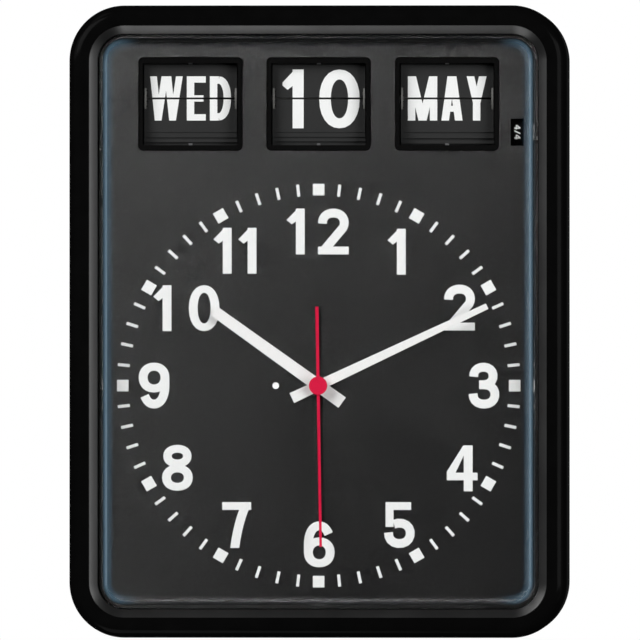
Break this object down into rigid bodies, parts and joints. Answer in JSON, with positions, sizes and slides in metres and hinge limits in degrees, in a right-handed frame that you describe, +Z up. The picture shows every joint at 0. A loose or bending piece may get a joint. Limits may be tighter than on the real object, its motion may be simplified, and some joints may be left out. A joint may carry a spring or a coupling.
{
  "type": "calendar clock",
  "caption": "Wall calendar clock: analogue dial below three split-flap windows for weekday, date and month, in a black frame with rounded corners and a clear lens.",
  "frame": {"origin": "centre of the round end of the keyhole, on the wall plane at the clock's back", "axes": "+Z up, the dial faces -Y, +X to the right of a person who reads the dial"},
  "size_m": [0.315, 0.085, 0.4],
  "materials": {
    "case_black": "high-gloss black moulding with a soft sheen",
    "lens_clear": "clear polished plastic",
    "dial_grey": "satin dark grey paint on a moulded plate",
    "print_white": "white printing ink",
    "frame_black": "matte black moulding",
    "steel": "plain steel",
    "drum_nylon": "natural nylon, matte",
    "leaf_grey": "dark grey leaf plastic, matte",
    "inner_black": "black moulding with a fine texture",
    "brass": "turned and stamped brass",
    "copper_coil": "enamelled copper wire",
    "board_green": "green solder resist",
    "hand_white": "white enamel on sheet aluminium",
    "hand_red": "red enamel",
    "cell_silver": "printed metal jacket, plain",
    "lead_red": "soft wire insulation"
  },
  "bodies": {
    "case": {"front_case": "case_black", "front_lens": "lens_clear", "dial_plate": "dial_grey", "hour_numerals": "print_white", "minute_track": "print_white", "weekday_window_frame": "frame_black", "date_window_frame": "frame_black", "month_window_frame": "frame_black", "leaf_hooks": "steel", "weekday_unit_frame": "inner_black", "date_unit_frame": "inner_black", "month_unit_frame": "inner_black", "drum_shafts": "steel", "movement_front_shell": "inner_black", "movement_back_shell": "inner_black", "fixing_nut": "inner_black", "stator": "steel", "coil": "copper_coil", "circuit_board": "board_green", "rear_cover": "case_black", "hanger_plate": "steel", "battery_bay": "case_black", "battery_cell": "cell_silver", "battery_contacts": "brass", "battery_leads": "lead_red", "screws": "steel"},
    "weekday_drum": {"weekday_drum": "drum_nylon", "weekday_leaf_pack": "leaf_grey", "weekday_pack_print": "print_white"},
    "weekday_leaf": {"weekday_falling_leaf": "leaf_grey", "weekday_falling_print": "print_white"},
    "weekday_plunger": {"weekday_set_plunger": "drum_nylon"},
    "date_drum": {"date_drum": "drum_nylon", "date_leaf_pack": "leaf_grey", "date_pack_print": "print_white"},
    "date_leaf": {"date_falling_leaf": "leaf_grey", "date_falling_print": "print_white"},
    "date_plunger": {"date_set_plunger": "drum_nylon"},
    "month_drum": {"month_drum": "drum_nylon", "month_leaf_pack": "leaf_grey", "month_pack_print": "print_white"},
    "month_leaf": {"month_falling_leaf": "leaf_grey", "month_falling_print": "print_white"},
    "month_plunger": {"month_set_plunger": "drum_nylon"},
    "year_wheel": {"year_wheel": "frame_black", "year_wheel_print": "print_white"},
    "second_hand": {"second_hand": "hand_red", "second_wheel": "brass"},
    "minute_hand": {"minute_hand": "hand_white", "centre_wheel": "brass"},
    "hour_hand": {"hour_hand": "hand_white", "hour_wheel": "drum_nylon"},
    "third_wheel": {"third_wheel": "brass"},
    "intermediate_wheel": {"intermediate_wheel": "drum_nylon"},
    "rotor": {"rotor": "steel"},
    "motion_wheel": {"motion_wheel": "drum_nylon"},
    "day_wheel": {"day_wheel": "frame_black", "day_disc_print": "print_white"},
    "time_knob": {"time_set_knob": "case_black"},
    "battery_door": {"battery_door": "case_black"}
  },
  "joints": [
    {"name": "weekday_drum_step", "type": "hinge", "parent": "case", "child": "weekday_drum", "pos_m": [-0.0812, -0.0425, -0.0328], "axis": [1, 0, 0], "range_deg": [0, 12.86]},
    {"name": "weekday_leaf_fall", "type": "hinge", "parent": "weekday_drum", "child": "weekday_leaf", "pos_m": [-0.0812, -0.05741, -0.03112], "axis": [1, 0, 0], "range_deg": [0, 167.14]},
    {"name": "weekday_plunger_push", "type": "slide", "parent": "case", "child": "weekday_plunger", "axis": [0, -1, 0], "range_m": [0, 0.00267]},
    {"name": "date_drum_step", "type": "hinge", "parent": "case", "child": "date_drum", "pos_m": [0, -0.0425, -0.0328], "axis": [1, 0, 0], "range_deg": [0, 11.61]},
    {"name": "date_leaf_fall", "type": "hinge", "parent": "date_drum", "child": "date_leaf", "pos_m": [0, -0.05742, -0.03128], "axis": [1, 0, 0], "range_deg": [0, 168.39]},
    {"name": "date_plunger_push", "type": "slide", "parent": "case", "child": "date_plunger", "axis": [0, -1, 0], "range_m": [0, 0.00242]},
    {"name": "month_drum_step", "type": "hinge", "parent": "case", "child": "month_drum", "pos_m": [0.0812, -0.0425, -0.0328], "axis": [1, 0, 0], "range_deg": [0, 15]},
    {"name": "month_leaf_fall", "type": "hinge", "parent": "month_drum", "child": "month_leaf", "pos_m": [0.0812, -0.05737, -0.03084], "axis": [1, 0, 0], "range_deg": [0, 165]},
    {"name": "month_plunger_push", "type": "slide", "parent": "case", "child": "month_plunger", "axis": [0, -1, 0], "range_m": [0, 0.00311]},
    {"name": "year_wheel_turn", "type": "hinge", "parent": "case", "child": "year_wheel", "pos_m": [0.1256, -0.0489, -0.0542], "axis": [1, 0, 0], "continuous": true},
    {"name": "second_hand_turn", "type": "hinge", "parent": "case", "child": "second_hand", "pos_m": [0, -0.05, -0.2145], "axis": [0, 1, 0], "continuous": true},
    {"name": "minute_hand_turn", "type": "hinge", "parent": "case", "child": "minute_hand", "pos_m": [0, -0.05, -0.2145], "axis": [0, 1, 0], "continuous": true},
    {"name": "hour_hand_turn", "type": "hinge", "parent": "case", "child": "hour_hand", "pos_m": [0, -0.05, -0.2145], "axis": [0, 1, 0], "continuous": true},
    {"name": "third_wheel_turn", "type": "hinge", "parent": "case", "child": "third_wheel", "pos_m": [0.0068, -0.05, -0.20272], "axis": [0, 1, 0], "continuous": true},
    {"name": "intermediate_wheel_turn", "type": "hinge", "parent": "case", "child": "intermediate_wheel", "pos_m": [-0.00493, -0.05, -0.22803], "axis": [0, 1, 0], "continuous": true},
    {"name": "rotor_turn", "type": "hinge", "parent": "case", "child": "rotor", "pos_m": [-0.01333, -0.05, -0.22803], "axis": [0, 1, 0], "continuous": true},
    {"name": "motion_wheel_turn", "type": "hinge", "parent": "case", "child": "motion_wheel", "pos_m": [0.00849, -0.05, -0.22299], "axis": [0, 1, 0], "continuous": true},
    {"name": "day_wheel_turn", "type": "hinge", "parent": "case", "child": "day_wheel", "pos_m": [-0.018, -0.05, -0.2145], "axis": [0, 1, 0], "continuous": true},
    {"name": "time_knob_turn", "type": "hinge", "parent": "case", "child": "time_knob", "pos_m": [0.01739, -0.05, -0.23189], "axis": [0, 1, 0], "continuous": true},
    {"name": "battery_door_swing", "type": "hinge", "parent": "case", "child": "battery_door", "pos_m": [0, -0.0014, -0.3184], "axis": [-1, 0, 0], "range_deg": [0, 90]}
  ],
  "couplings": [
    {"joint": "weekday_leaf_fall", "follows": "weekday_drum_step", "ratio": 13},
    {"joint": "weekday_plunger_push", "follows": "weekday_drum_step", "m_per_rad": 0.0119},
    {"joint": "date_leaf_fall", "follows": "date_drum_step", "ratio": 14.5},
    {"joint": "date_plunger_push", "follows": "date_drum_step", "m_per_rad": 0.01192},
    {"joint": "month_leaf_fall", "follows": "month_drum_step", "ratio": 11},
    {"joint": "month_plunger_push", "follows": "month_drum_step", "m_per_rad": 0.011864},
    {"joint": "minute_hand_turn", "follows": "second_hand_turn", "ratio": 0.016667},
    {"joint": "hour_hand_turn", "follows": "second_hand_turn", "ratio": 0.0013889},
    {"joint": "third_wheel_turn", "follows": "second_hand_turn", "ratio": -0.13333},
    {"joint": "intermediate_wheel_turn", "follows": "second_hand_turn", "ratio": -5},
    {"joint": "rotor_turn", "follows": "second_hand_turn", "ratio": 30},
    {"joint": "motion_wheel_turn", "follows": "second_hand_turn", "ratio": -0.0055556},
    {"joint": "day_wheel_turn", "follows": "second_hand_turn", "ratio": -0.00069444},
    {"joint": "time_knob_turn", "follows": "second_hand_turn", "ratio": 0.013889}
  ]
}
